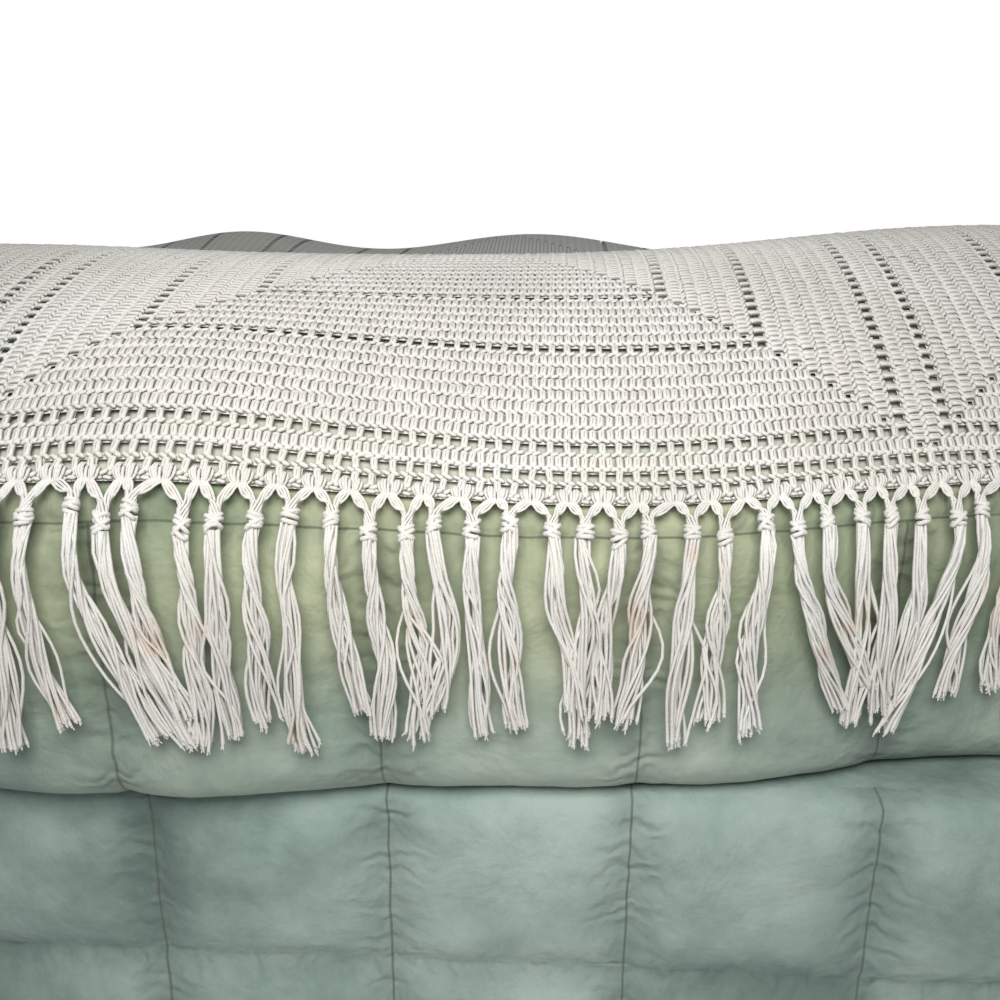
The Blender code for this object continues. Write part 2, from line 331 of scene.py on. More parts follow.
def sheet_material():
    """The crocheted cloth itself: cream stitches with painted shade in the gaps between them and in the
    slits of the posts, drawn from its UV.
    """
    mat, nodes, links, shader = new_material("crochet_cloth")
    height, deep, slit = stitch_pattern(nodes, links)
    where = add(nodes, "ShaderNodeTexCoord").outputs["Object"]
    patches = add(nodes, "ShaderNodeTexNoise", Scale=9.0, Detail=3.0)
    links.new(where, patches.inputs["Vector"])
    tone = ramp(nodes, ((0.30, (0.71, 0.69, 0.65)), (0.52, (0.77, 0.75, 0.69)), (0.75, (0.81, 0.80, 0.76))))
    links.new(patches.outputs["Fac"], tone.inputs["Fac"])
    # Painted shade: the slit in each post goes towards CREAM_SHADE, and the gaps and dots between stitches
    # go towards the darker gap colour.
    slit_share = math_node(nodes, links, "MULTIPLY", slit, 0.7)
    with_slit = mix(nodes, links, slit_share, tone.outputs["Color"], CREAM_SHADE)
    colour = mix(nodes, links, deep, with_slit, CREAM_GAP_SHADE)
    links.new(colour, shader.inputs["Base Color"])
    bump = add(nodes, "ShaderNodeBump", Strength=0.8, Distance=0.002)
    links.new(height, bump.inputs["Height"])
    links.new(bump.outputs["Normal"], shader.inputs["Normal"])
    shader.inputs["Roughness"].default_value = 0.9
    shader.inputs["Sheen Weight"].default_value = 0.2
    shader.inputs["Specular IOR Level"].default_value = 0.25
    return mat


def post_material(base):
    """The yarn with painted shade in the slit between the two legs of each post and at the sides of its
    waist, from the post's own UV.
    """
    mat = base.copy()
    mat.name = "crochet_posts"
    nodes, links = mat.node_tree.nodes, mat.node_tree.links
    shader = nodes["Principled BSDF"]
    before = shader.inputs["Base Color"].links[0].from_socket
    op = math_maker(nodes, links)
    x, y = uv_parts(nodes, links)

    def closeness(value, low, high):
        return between(nodes, links, op("ABSOLUTE", value), low, high, 1.0, 0.0)

    slant = op("ADD", x, op("MULTIPLY", y, 0.18))
    slit = op("MULTIPLY", closeness(slant, 0.05, 0.22), closeness(y, 0.25, 0.60))
    rim = op("SUBTRACT", 1.0, closeness(x, 0.72, 1.0))
    waist = closeness(y, 0.30, 0.75)
    # Painted shade: darker in each post's slit and at the sides of its waist, towards the dark slit colour.
    dark = op("MAXIMUM", op("MULTIPLY", slit, 0.85), op("MULTIPLY", op("MULTIPLY", rim, waist), 0.7))
    links.new(mix(nodes, links, dark, before, CREAM_SLIT_SHADE), shader.inputs["Base Color"])
    return mat


def quilt_seams(nodes, links):
    """From the UV in metres: seam lines, puckers beside them, where the cover lies under the crochet
    (painted lighter there, as if lit through the holes), and painted shade by the seams.
    """
    op = math_maker(nodes, links)
    along, down = uv_parts(nodes, links)

    def near_line(value, low, high):
        return between(nodes, links, value, low, high, 1.0, 0.0)

    def waves(value):
        return op("SINE", op("ADD", op("MULTIPLY", value, PUCKER_WAVES), uneven))

    where = add(nodes, "ShaderNodeTexCoord").outputs["Object"]
    ripple = add(nodes, "ShaderNodeTexNoise", Scale=30.0, Detail=2.0)
    links.new(where, ripple.inputs["Vector"])
    shake = op("MULTIPLY", op("SUBTRACT", ripple.outputs["Fac"], 0.5), 0.004)
    x, y = op("ADD", along, shake), op("ADD", down, shake)
    share = op("FRACT", op("ADD", op("DIVIDE", x, SEAM_PITCH), 0.5))
    upright = op("MULTIPLY", op("ABSOLUTE", op("SUBTRACT", share, 0.5)), SEAM_PITCH)
    lying = op("ABSOLUTE", y)
    above = op("MULTIPLY", op("LESS_THAN", y, 0.0), 1.0)
    upright = op("ADD", upright, above)
    line = op("MAXIMUM", near_line(upright, 0.0003, 0.0013), near_line(lying, 0.0003, 0.0013))
    uneven = op("MULTIPLY", ripple.outputs["Fac"], 20.0)
    beside_upright = op("MULTIPLY", near_line(upright, 0.001, 0.040), waves(y))
    beside_lying = op("MULTIPLY", near_line(lying, 0.001, 0.034), waves(x))
    painted_light_under_crochet = op("LESS_THAN", down, UNDER_CLOTH)
    shade = op("MAXIMUM", near_line(upright, 0.0, 0.034), op("MULTIPLY", near_line(lying, 0.0, 0.022), 0.7))
    return line, op("ADD", beside_upright, op("MULTIPLY", beside_lying, 0.6)), painted_light_under_crochet, shade


def sage_material(name, light, mid, dark, scale):
    """Matt brushed cotton with soft uneven dye, a fine weave, small creases and stitched seams, with
    painted shade beside the seams, a warmer tint towards the top and a painted lighter tone where it lies
    under the crochet.
    """
    mat, nodes, links, shader = new_material(name)
    op = math_maker(nodes, links)
    line, puckers, painted_light_under_crochet, shade = quilt_seams(nodes, links)
    where = add(nodes, "ShaderNodeTexCoord").outputs["Object"]
    clouds = add(nodes, "ShaderNodeTexNoise", Scale=scale, Detail=6.0, Roughness=0.62)
    links.new(where, clouds.inputs["Vector"])
    tone = ramp(nodes, ((0.36, dark), (0.50, mid), (0.64, light)))
    links.new(clouds.outputs["Fac"], tone.inputs["Fac"])
    weave = add(nodes, "ShaderNodeTexNoise", Scale=1400.0, Detail=1.0)
    links.new(where, weave.inputs["Vector"])
    fleck = ramp(nodes, ((0.3, (0.88, 0.88, 0.88)), (0.65, (1.0, 1.0, 1.0))))
    links.new(weave.outputs["Fac"], fleck.inputs["Fac"])
    colour = mix(nodes, links, 0.7, tone.outputs["Color"], fleck.outputs["Color"], "MULTIPLY")
    height = nodes.new("ShaderNodeSeparateXYZ")
    links.new(where, height.inputs[0])
    high = between(nodes, links, height.outputs["Z"], 0.22, 0.33)
    colour = mix(nodes, links, high, colour, mix(nodes, links, 1.0, colour, SAGE_WARM, "MULTIPLY"))
    # Painted shade beside the seams, where the puckers would shadow the cloth.
    shaded = mix(nodes, links, 1.0, colour, (0.62, 0.64, 0.64), "MULTIPLY")
    colour = mix(nodes, links, op("MULTIPLY", shade, 0.6), colour, shaded)
    colour = mix(nodes, links, op("MULTIPLY", line, 0.75), colour, SAGE_SEAM)
    # Painted light: under the crochet the cover is made lighter, as if lit through the filet holes.
    colour = mix(nodes, links, painted_light_under_crochet, colour, PAINTED_LIGHT_UNDER_CROCHET)
    links.new(colour, shader.inputs["Base Color"])
    crease = add(nodes, "ShaderNodeTexNoise", Scale=13.0, Detail=5.0, Roughness=0.52, Distortion=0.3)
    links.new(where, crease.inputs["Vector"])
    relief = op("ADD", crease.outputs["Fac"], op("MULTIPLY", puckers, PUCKER_HEIGHT))
    soft = add(nodes, "ShaderNodeBump", Strength=0.9, Distance=0.014)
    links.new(relief, soft.inputs["Height"])
    fine = add(nodes, "ShaderNodeBump", Strength=0.2, Distance=0.0004)
    links.new(weave.outputs["Fac"], fine.inputs["Height"])
    links.new(soft.outputs["Normal"], fine.inputs["Normal"])
    links.new(fine.outputs["Normal"], shader.inputs["Normal"])
    shader.inputs["Roughness"].default_value = 0.85
    shader.inputs["Sheen Weight"].default_value = 0.15
    shader.inputs["Specular IOR Level"].default_value = 0.3
    return mat


# Making pieces

def finish_piece(obj, mat, nodes=()):
    """Gives a piece its material and body, and hides the nodes that it stands for."""
    obj.data.materials.clear()
    obj.data.materials.append(mat)
    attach(obj, "root")
    if nodes:
        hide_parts(*nodes)
    return obj


def link_mesh(name, bm):
    mesh = bpy.data.meshes.new(name)
    bm.to_mesh(mesh)
    bm.free()
    mesh.shade_smooth()
    obj = bpy.data.objects.new(name, mesh)
    bpy.context.scene.collection.objects.link(obj)
    return obj


def lay_vertices(bm, centre_u, centre_v, lift):
    """Lays a flat cloth, whose plane is centred on a square, over the bed."""
    flat = np.array([vert.co for vert in bm.verts])
    u = flat[:, 0] + centre_u
    v = flat[:, 1] + centre_v
    placed = drape(u, v, clearance(v) + lift + flat[:, 2])
    for vert, place in zip(bm.verts, placed):
        vert.co = place


def keep_uv(bm):
    """Keeps the flat cloth's own metres as its UV."""
    layer = bm.loops.layers.uv.new("cloth")
    for face in bm.faces:
        for loop in face.loops:
            loop[layer].uv = (loop.vert.co.x, loop.vert.co.y)


def open_cells(bm, cells, rim):
    bmesh.ops.inset_individual(bm, faces=cells, thickness=rim, use_even_offset=True)
    bmesh.ops.delete(bm, geom=cells, context="FACES")


def square_sheet(name, node, centre_u, centre_v, mat):
    """One square's cloth, with every filet mesh and corner slit open."""
    bm = bmesh.new()
    cells = 2 * ROUNDS
    bmesh.ops.create_grid(bm, x_segments=cells, y_segments=cells, size=SQUARE / 2 - SEAM / 2)
    filet, slits = [], []
    for face in bm.faces:
        middle = face.calc_center_median()
        column, row = (math.floor(abs(place) / ROUND) + 1 for place in middle.xy)
        ring = max(column, row)
        if ring in FILET_ROUNDS:
            filet.append(face)
        elif column == row and ring > 1:
            slits.append(face)
    open_cells(bm, filet, MESH_RIM)
    open_cells(bm, slits, SLIT_RIM)
    keep_uv(bm)
    lay_vertices(bm, centre_u, centre_v, CLOTH_LIFT)
    obj = finish_piece(link_mesh(name, bm), mat, [node])
    return obj


def edging_sheet(name, node, us, vs, mat):
    """A run of the edging, with its two rows of filet meshes open."""
    bm = bmesh.new()
    columns, rows = len(us) - 1, len(vs) - 1
    bmesh.ops.create_grid(bm, x_segments=columns, y_segments=rows, size=0.5)
    for vert in bm.verts:
        vert.co.x = us[round((vert.co.x + 0.5) * columns)]
        vert.co.y = vs[round((vert.co.y + 0.5) * rows)]
    filet = []
    for face in bm.faces:
        middle = face.calc_center_median()
        beyond = max(abs(middle.x) - HALF_LENGTH, abs(middle.y) - SQUARE)
        if beyond < 2 * ROUND:
            filet.append(face)
    open_cells(bm, filet, MESH_RIM)
    keep_uv(bm)
    lay_vertices(bm, 0.0, 0.0, CLOTH_LIFT)
    obj = finish_piece(link_mesh(name, bm), mat, [node])
    return obj


def bead(width, height, depth, around, rows, waist=1.0):
    """A closed bead, long along Y and narrowed to this share at its middle, as points and faces."""
    bm = bmesh.new()
    bmesh.ops.create_uvsphere(bm, u_segments=around, v_segments=rows, radius=1)
    for vert in bm.verts:
        x, y, z = vert.co
        full = 1.0 if waist == 1.0 or abs(z) > 0.99 else (waist if abs(z) < 0.1 else 1.35)
        vert.co = (x * full * width / 2, z * height / 2, -y * depth / 2)
    points = np.array([vert.co for vert in bm.verts])
    faces = [[vert.index for vert in face.verts] for face in bm.faces]
    bm.free()
    return points, faces


def copies(name, shape, places, mat):
    """Joined copies of a bead. Each row of places is u, v, lift, turn, width share, height share."""
    points, faces = shape
    count, size = len(places), len(points)
    u, v, lift, turn, wide, tall = (places[:, column][:, None] for column in range(6))
    x = points[:, 0] * wide
    y = points[:, 1] * tall
    flat_u = u + x * np.cos(turn) - y * np.sin(turn)
    flat_v = v + x * np.sin(turn) + y * np.cos(turn)
    placed = drape(flat_u, flat_v, clearance(flat_v) + lift + points[:, 2]).reshape(-1, 3)
    corners = np.concatenate([np.array(face) for face in faces])
    sizes = np.array([len(face) for face in faces])
    loops = (corners[None, :] + size * np.arange(count)[:, None]).ravel()
    all_sizes = np.tile(sizes, count)
    starts = np.concatenate([[0], np.cumsum(all_sizes)[:-1]])
    mesh = bpy.data.meshes.new(name)
    mesh.vertices.add(len(placed))
    mesh.vertices.foreach_set("co", placed.ravel())
    mesh.loops.add(len(loops))
    mesh.loops.foreach_set("vertex_index", loops)
    mesh.polygons.add(len(all_sizes))
    mesh.polygons.foreach_set("loop_start", starts)
    mesh.update(calc_edges=True)
    layer = mesh.uv_layers.new(name="across")
    reach = np.abs(points).max(0)
    uv = np.stack([points[:, 0] / reach[0], points[:, 1] / reach[1]], -1)[corners]
    layer.data.foreach_set("uv", np.tile(uv, (count, 1)).ravel())
    mesh.validate()
    mesh.shade_smooth()
    obj = bpy.data.objects.new(name, mesh)
    bpy.context.scene.collection.objects.link(obj)
    return finish_piece(obj, mat)


def tubes(name, paths, radius, mat, resolution=0, nodes=(), closed=False):
    """Yarn tubes along paths of world points, each a row of x, y, z and a radius share."""
    curve = bpy.data.curves.new(name, "CURVE")
    curve.dimensions = "3D"
    curve.bevel_depth = radius
    curve.bevel_resolution = resolution
    curve.use_fill_caps = True
    curve.resolution_u = 1
    for path in paths:
        spline = curve.splines.new("POLY")
        spline.points.add(len(path) - 1)
        spline.points.foreach_set("co", np.column_stack([path[:, :3], np.ones(len(path))]).ravel())
        spline.points.foreach_set("radius", path[:, 3])
        spline.use_cyclic_u = closed
        spline.use_smooth = True
    carrier = bpy.data.objects.new(name + "_curve", curve)
    bpy.context.scene.collection.objects.link(carrier)
    mesh = bpy.data.meshes.new_from_object(carrier)
    bpy.data.objects.remove(carrier)
    bpy.data.curves.remove(curve)
    mesh.name = name
    obj = bpy.data.objects.new(name, mesh)
    bpy.context.scene.collection.objects.link(obj)
    return finish_piece(obj, mat, nodes)


def laid(u, v, lift, share=1.0):
    """A tube path over the cloth: world points with their radius share."""
    v = np.asarray(v, float)
    points = drape(u, v, clearance(v) + lift)
    return np.column_stack([points, np.broadcast_to(share, len(points))])


# The crochet

rng = np.random.default_rng(11)
NEAR_LEFT, NEAR_RIGHT = -0.47, 0.62
NEAR_ACROSS = 0.28
SIDES = (0, 1, 2, 3)


def turned(side, along, outward):
    """Places beside a square's middle: along a side, and outward from the middle."""
    angle = side * math.pi / 2
    cos, sin = math.cos(angle), math.sin(angle)
    return along * cos - outward * sin, along * sin + outward * cos


def near(u, v):
    """Whether a place lies in the part of the cloth that is worked in real yarn."""
    return (u > NEAR_LEFT) & (u < NEAR_RIGHT) & (v > NEAR_ACROSS)


def square_posts(centre_u, centre_v):
    """Rows of places for every post of a square's rounds."""
    rows = []
    for side in SIDES:
        for ring in range(1, ROUNDS + 1):
            step = 2 if ring in FILET_ROUNDS else 1
            reach = 2 * ring - 2
            stitches = np.arange(-reach, reach + 1, step)
            along = stitches * STITCH
            outward = np.full(len(along), (ring - 0.5) * ROUND)
            x, y = turned(side, along, outward)
            u, v = centre_u + x, centre_v + y
            keep = near(u, v)
            count = int(keep.sum())
            if not count:
                continue
            lean = rng.normal(0, 0.07, count)
            rows.append(np.column_stack([
                u[keep] + rng.normal(0, 0.0002, count), v[keep] + rng.normal(0, 0.0002, count),
                YARN_LIFT + rng.normal(0, 0.00015, count), side * math.pi / 2 + lean,
                rng.normal(1.0, 0.05, count), rng.normal(1.0, 0.03, count)]))
    return rows


def loop_row(u, v, side, slant):
    """Rows of places for the slanted loops of one chain of stitch tops."""
    count = len(u)
    return np.column_stack([
        u + rng.normal(0, 0.0002, count), v + rng.normal(0, 0.0002, count),
        YARN_LIFT + LOOP_LIFT + rng.normal(0, 0.0001, count),
        side * math.pi / 2 - math.pi / 2 + slant + rng.normal(0, 0.09, count),
        rng.normal(1.0, 0.06, count), rng.normal(1.0, 0.05, count)])


def square_loops(centre_u, centre_v):
    """Rows of places for the chain of stitch tops at the outside of every round."""
    rows = []
    for side in SIDES:
        for ring in range(1, ROUNDS + 1):
            along = (np.arange(-2 * ring, 2 * ring) + 0.5) * STITCH
            x, y = turned(side, along, np.full(len(along), ring * ROUND - 0.0003))
            u, v = centre_u + x, centre_v + y
            keep = near(u, v)
            if keep.any():
                rows.append(loop_row(u[keep], v[keep], side, LOOP_SLANT * (1 if ring % 2 else -1)))
    return rows


def edging_posts():
    rows = []
    for out in (ROUND * 0.5, ROUND * 1.5):
        for side in SIDES:
            half = (HALF_LENGTH, SQUARE)[side % 2]
            outward = (SQUARE, HALF_LENGTH)[side % 2] + out
            number = round(half / ROUND)
            along = np.arange(-number, number + 1) * ROUND
            u, v = turned(side, along, np.full(len(along), outward))
            count = len(along)
            rows.append(np.column_stack([
                u + rng.normal(0, 0.0003, count), v + rng.normal(0, 0.0002, count),
                np.full(count, YARN_LIFT), side * math.pi / 2 + rng.normal(0, 0.10, count),
                rng.normal(0.98, 0.07, count), rng.normal(1.0, 0.03, count)]))
    return rows


def edging_loops():
    rows = []
    for number, out in enumerate((0.0, ROUND, 2 * ROUND, EDGING - 0.0016)):
        for side in SIDES:
            half = (HALF_LENGTH, SQUARE)[side % 2] + out
            outward = (SQUARE, HALF_LENGTH)[side % 2] + out
            stitches = round(2 * half / STITCH)
            along = (np.arange(stitches) + 0.5 - stitches / 2) * STITCH
            u, v = turned(side, along, np.full(stitches, outward))
            last = number == 3
            row = loop_row(u, v, side, 0.15 if last else LOOP_SLANT * (1 if number % 2 else -1))
            if last:
                row[:, 2] -= 0.0008
                row[:, 4] *= 0.85
            if side == 0 or last:
                rows.append(row)
    return rows


# The fringe

KNOT_BELOW = 0.018
KNOT_DRIFT = 0.0030
MEETING = 0.52
TASSEL_END = 0.139
LENGTH_SWING = 0.010
STRANDS_IN_TASSEL = 14
STRANDS_IN_ARM = 4
WRAP_RADIUS = 0.00140
WRAP_STEP = 0.0024
ROPE_RADIUS = 0.0029
ARM_LIFT = 0.0048
HANG_LIFT = 0.0044
LEANS = (
    # along, half_width, reach
    (-0.195, 0.030, 0.040),
    (-0.060, 0.025, 0.024),
    (0.050, 0.030, 0.008),
    (0.180, 0.012, -0.018),
    (0.215, 0.022, 0.034),
    (0.310, 0.020, -0.016),
)


def lean(along):
    """How far a tassel's end hangs to one side of its knot."""
    drawn = sum(reach * math.exp(-(((along - at) / wide) ** 2)) for at, wide, reach in LEANS)
    return drawn + 0.005 * math.sin(31 * along + 1.0)


def knot_places(draw, count):
    """Where each tassel's knot hangs: along, below the hem, and lift."""
    places = []
    for number in range(count):
        middle = -HALF_LENGTH + (number + 0.5) * PAIR
        drift = -KNOT_DRIFT * math.tanh(middle / 0.15)
        places.append((middle + drift + draw.normal(0, 0.0023), KNOT_BELOW + draw.normal(0, 0.0024),
                       HANG_LIFT + draw.uniform(-0.0003, 0.0008)))
    return places


def side_of(front, u, v):
    """Turns a fringe place on the front hem round to the back one."""
    return (u, v) if front else (-np.asarray(u), -np.asarray(v))


def smooth_points(points, count):
    """Points along a smooth curve through a few given ones."""
    points = np.asarray(points, float)
    known = np.linspace(0, 1, len(points))
    wanted = np.linspace(0, 1, count)
    columns = []
    for column in points.T:
        slopes = np.gradient(column, known)
        place = np.clip(np.searchsorted(known, wanted) - 1, 0, len(known) - 2)
        width = known[place + 1] - known[place]
        t = (wanted - known[place]) / width
        before = (2 * t**3 - 3 * t**2 + 1) * column[place] + (t**3 - 2 * t**2 + t) * width * slopes[place]
        after = (3 * t**2 - 2 * t**3) * column[place + 1] + (t**3 - t**2) * width * slopes[place + 1]
        columns.append(before + after)
    return np.stack(columns, -1)


def hang(front, points, share=1.0):
    """A tube path through along, below-the-hem and lift rows."""
    u, v = side_of(front, points[:, 0], HEM + points[:, 1])
    return laid(u, v, points[:, 2], share)


def in_view(front, u):
    """Whether a tassel hangs where the yarn is worked finely."""
    return front and NEAR_LEFT - 0.03 < u < NEAR_RIGHT


def arm_paths(draw, front, knots):
    """Four strands from each attachment to the knots beside it, roped together above the knot."""
    paths = []
    for number, (knot_u, knot_v, knot_lift) in enumerate(knots):
        meeting = MEETING * knot_v
        turns = draw.choice((-1, 1)) * draw.uniform(0.25, 0.55)
        for side in (1, -1):
            at = -HALF_LENGTH + (number + (0 if side > 0 else 1)) * PAIR
            start = np.array((at + side * 0.0004, 0.0000))
            end = np.array((knot_u - side * ROPE_RADIUS, meeting))
            run = end - start
            outward = side * np.array((run[1], -run[0])) / np.linalg.norm(run)
            curl = 0.0002 + 0.22 * max(PAIR / 2 - 0.001 - abs(run[0]), 0.0)
            for strand in range(STRANDS_IN_ARM):
                aside = strand - (STRANDS_IN_ARM - 1) / 2
                phase = (math.pi if side > 0 else 0.0) + 0.75 * aside
                points = [(*(start + outward * 0.0006 * aside), 0.0030)]
                for along, width in ((0.28, 0.0012), (0.65, 0.0015)):
                    away = width * aside + curl * math.sin(math.pi * along)
                    place = start + run * along + outward * away
                    points.append((*place, ARM_LIFT + 0.0004 * (1.5 - abs(aside))))
                for down in (0.0, 0.33, 0.67, 1.0):
                    angle = phase + 2 * math.pi * turns * down
                    points.append((knot_u + ROPE_RADIUS * (1 - 0.2 * down) * math.cos(angle),
                                   meeting + (knot_v + 0.0010 - meeting) * down,
                                   knot_lift + 0.8 * ROPE_RADIUS * math.sin(angle)))
                paths.append(hang(front, smooth_points(points, 12 if in_view(front, knot_u) else 6)))
    return paths


def head_paths(draw, front, count):
    """The grooved pair of bumps where the strands of each attachment fold over the hem."""
    paths = []
    for number in range(count + 1):
        at = -HALF_LENGTH + number * PAIR + draw.normal(0, 0.0005)
        for side in (-1, 1):
            size = draw.normal(0.87, 0.06)
            for strand in range(STRANDS_IN_ARM):
                aside = strand - (STRANDS_IN_ARM - 1) / 2
                high = 0.0072 - 0.0007 * aside**2
                points = []
                bow = (
                    # down, middle, width, lift
                    (-0.0100, 0.0040, 0.0010, 0.0012),
                    (-0.0085, 0.0043, 0.0016, high - 0.0016),
                    (-0.0048, 0.0044, 0.0020, high),
                    (-0.0012, 0.0038, 0.0016, high - 0.0010),
                    (0.0012, 0.0022, 0.0010, 0.0038),
                )
                for down, middle, width, lift in bow:
                    down += 0.0004 * aside**2 * (1 if down < -0.0060 else 0)
                    points.append((at + side * size * (middle + width * aside), down * size, lift))
                paths.append(hang(front, smooth_points(points, 9 if in_view(front, at) else 5), 1.12))
    return paths


def knot_paths(draw, front, knots, steps):
    """Each overhand knot: four tilted wraps and a strand slanting over them."""
    paths = []
    around = np.linspace(0, 2 * math.pi, steps, endpoint=False)
    for knot_u, knot_v, lift in knots:
        way = draw.choice((-1, 1))
        tilt = way * draw.uniform(0.10, 0.60)
        size = draw.normal(1.0, 0.07)
        rings = [(step * WRAP_STEP, 0.0038 - 0.0004 * abs(step), tilt + draw.normal(0, 0.12)) for step in
                 (-1.1, 0.0, 1.1)]
        rings.append((draw.normal(0, 0.0010), 0.0040, -way * draw.uniform(0.15, 0.90)))
        for down, half_width, slant in rings:
            half_width *= size
            u = knot_u + half_width * np.cos(around)
            below = knot_v + down + slant * half_width * np.cos(around + draw.normal(0, 0.35))
            depth = lift + 0.80 * half_width * np.sin(around)
            paths.append(hang(front, np.column_stack([u, below, depth])))
    return paths


def tassel_paths(draw, front, knots, strands, steps):
    """The hanging strands of each tassel: roped below the knot, then looser and parted into locks."""
    paths = []
    for number, (knot_u, knot_v, lift) in enumerate(knots):
        close = in_view(front, knot_u)
        share = np.linspace(0, 1, steps if close else 7)
        count = strands if close else 8
        thick = 1.0 if close else 1.25
        turns = draw.choice((-1, 1)) * draw.uniform(0.3, 1.15)
        aside = lean(knot_u) + draw.normal(0, 0.0040)
        bow = draw.normal(0, 0.0030)
        length = TASSEL_END - knot_v - 0.004 + LENGTH_SWING * math.sin(2.3 * number) + draw.normal(0, 0.003)
        length = math.sqrt(length**2 - aside**2)
        wave = draw.uniform(0, 2 * math.pi)
        end_spread = draw.uniform(0.0058, 0.0088)
        lock_reach = draw.uniform(0.0008, 0.0030, 4)
        lock_wave = draw.uniform(0, 2 * math.pi, 4)
        for strand in range(count):
            ring = math.sqrt((strand + 0.5) / count)
            angle = 2.4 * strand + 2 * math.pi * turns * (1 - (1 - share) ** 1.6) + draw.normal(0, 0.15)
            spread = ring * (0.0034 + 0.0012 * np.sin(math.pi * share) + (end_spread - 0.0034) * share**2)
            lock = strand % 4
            parted = lock_reach[lock] * np.sin(5.5 * share + lock_wave[lock]) * ease(share, 0.08, 0.45)
            wander_reach = draw.normal(0, 0.0010)
            wander = wander_reach * np.sin(math.pi * share * draw.uniform(2.0, 6.0) + draw.uniform(0, 6))
            stray = 0.0
            if draw.uniform() < 0.06:
                stray_reach = draw.choice((-1, 1)) * draw.uniform(0.006, 0.014)
                stray = stray_reach * np.sin(math.pi * share**1.4) ** 2
            centre = aside * share**1.3 + bow * np.sin(math.pi * share) + 0.0010 * np.sin(9 * share + wave)
            own_length = length * draw.normal(1.0, 0.020)
            u = knot_u + centre + spread * np.cos(angle) + parted + wander + stray
            below = knot_v + 0.003 + own_length * share
            depth = lift + 0.0010 * np.sin(7 * share + wave) + 0.55 * spread * np.sin(angle)
            path = hang(front, np.column_stack([u, below, np.maximum(depth, -0.0035)]), thick)
            path[-1, 3] *= 1.3
            paths.append(path)
    return paths


def tuft_paths(draw, tassels, hairs):
    """Short frayed fibres at the cut end of each strand."""
    paths = []
    for path in tassels:
        end, before = path[-1, :3], path[-2, :3]
        if not NEAR_LEFT < end[0] < NEAR_RIGHT:
            continue
        down = (end - before) / np.linalg.norm(end - before)
        for _ in range(hairs):
            aside = draw.normal(0, 0.26, 3)
            reach = draw.uniform(0.0014, 0.0030)
            tip = end + (down + aside) * reach
            paths.append(np.column_stack([np.array([end - down * 0.0006, tip]), (1.0, 0.7)]))
    return paths


def make_fringe(name, node, front, mats):
    """A whole fringe as yarn: heads and arms, knots, hanging strands and frayed ends."""
    draw = np.random.default_rng(21 if front else 22)
    yarn, stained, tuft = mats
    knots = knot_places(draw, LOCKS)
    arms = arm_paths(draw, front, knots)
    heads = head_paths(draw, front, LOCKS)
    hanging = tassel_paths(draw, front, knots, STRANDS_IN_TASSEL, 15)
    tubes(name + "_strands", hanging, STRAND, stained, nodes=[node])
    tubes(name + "_arms", arms, TIGHT_STRAND, yarn)
    tubes(name + "_heads", heads, TIGHT_STRAND, yarn)
    wraps = knot_paths(draw, front, knots, 12 if front else 6)
    fine = 1 if front else 0
    tubes(name + "_knots", wraps, WRAP_RADIUS, yarn, resolution=fine, closed=True)
    if front:
        tubes(name + "_tufts", tuft_paths(draw, hanging, 4), 0.00062, tuft)


# The bed


def seam_places(along, down, lines):
    """Distance to the nearest quilting seam, with upright seams below the first lying one."""
    upright = np.abs((along / SEAM_PITCH + 0.5) % 1.0 - 0.5) * SEAM_PITCH
    lying = np.min([np.abs(down - line) for line in lines], axis=0)
    return np.where(down > lines[0], np.minimum(lying, upright), lying)


def quilted(along, down, lines, puff, places):
    """How far the quilted cover stands out: drawn in along its seams, full and creased between."""
    nearest = seam_places(along, down, lines)
    full = 1 - (1 - np.minimum(nearest / 0.055, 1.0)) ** 2.2
    crease = np.array([noise.noise((x * 17, y * 17, z * 30)) + 0.5 * noise.noise((x * 48, y * 48, z * 60))
                       for x, y, z in places])
    pucker = np.array([noise.noise((x * 95, y * 95, z * 95)) for x, y, z in places])
    pucker = pucker * np.exp(-nearest / 0.020)
    groove = np.exp(-(nearest / 0.0030) ** 2)
    return puff * full + 0.0026 * crease + 0.0020 * pucker - 0.0020 * groove


def keep_seam_uv(bm, columns):
    """Keeps each vertex's place along and below the first seam, in metres, as its UV.

    A face between the two long sides, where the measure turns back, is held midway between seams."""
    layer = bm.loops.layers.uv.new("quilt")
    bm.verts.index_update()
    for face in bm.faces:
        along = [columns[vert.index][0] for vert in face.verts]
        turns_back = max(along) - min(along) > SEAM_PITCH / 2
        for loop in face.loops:
            place, down = columns[loop.vert.index]
            loop[layer].uv = (SEAM_PITCH / 2 if turns_back else place, down)


def close_ends(bm):
    """Closes the open ends of a bed part, with the new faces' UV clear of every seam."""
    layer = bm.loops.layers.uv.active
    for face in bmesh.ops.holes_fill(bm, edges=[edge for edge in bm.edges if edge.is_boundary])["faces"]:
        for loop in face.loops:
            loop[layer].uv = (SEAM_PITCH / 2, SEAM_PITCH / 3)
    bmesh.ops.recalc_face_normals(bm, faces=bm.faces[:])


def mattress_loop():
    """Cloth lengths and tucks once round the mattress, in close rows where it shows."""
    side_end = HEM + EDGE_ARC + CREST - section(np.array(HEM + EDGE_ARC))[1] - BASE_HEIGHT - SEAM
    top = np.linspace(0, HEM - 0.03, 21)
    side = np.linspace(HEM - 0.03, side_end, 62)[1:]
    half = np.concatenate([top, side])
    v = np.concatenate([-half[:0:-1], half])
    over = np.clip(np.abs(v) - (side_end - LOWER_EDGE), 0, LOWER_EDGE)
    tuck = LOWER_EDGE - np.sqrt(LOWER_EDGE**2 - over**2)
    return v, np.minimum(tuck, LOWER_EDGE * 0.98)


